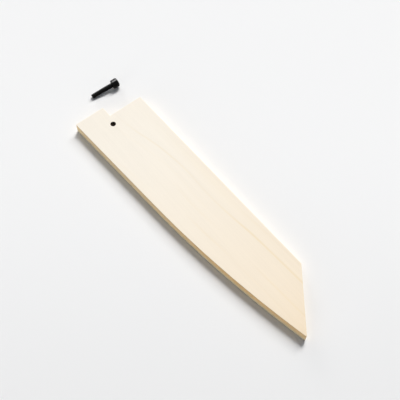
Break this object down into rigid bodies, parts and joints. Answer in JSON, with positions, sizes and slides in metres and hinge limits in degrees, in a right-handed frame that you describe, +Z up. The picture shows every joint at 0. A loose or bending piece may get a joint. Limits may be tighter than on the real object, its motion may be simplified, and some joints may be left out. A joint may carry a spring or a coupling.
{
  "type": "knife blade guard",
  "caption": "Flat wooden sheath for a kitchen knife with a slanted tip, open at a stepped mouth, with a turned peg that locks the knife in through a hole.",
  "frame": {"origin": "on the underside, at mid-width, where the heel of the blade comes to rest", "axes": "+X from the mouth to the tip, +Y from the cutting edge to the spine, +Z up from the underside"},
  "size_m": [0.2603, 0.0555, 0.0084],
  "materials": {
    "pale_wood": "fine-sanded, unfinished pale wood",
    "black_wood": "polished black wood"
  },
  "bodies": {
    "sheath": {"top_panel": "pale_wood", "bottom_panel": "pale_wood", "spine_strip": "pale_wood", "edge_strip": "pale_wood", "tip_block": "pale_wood"},
    "peg": {"peg": "black_wood"}
  },
  "joints": [
    {"name": "peg_lift", "type": "slide", "parent": "sheath", "child": "peg", "axis": [0, 0, 1], "range_m": [0, 0.035]}
  ]
}
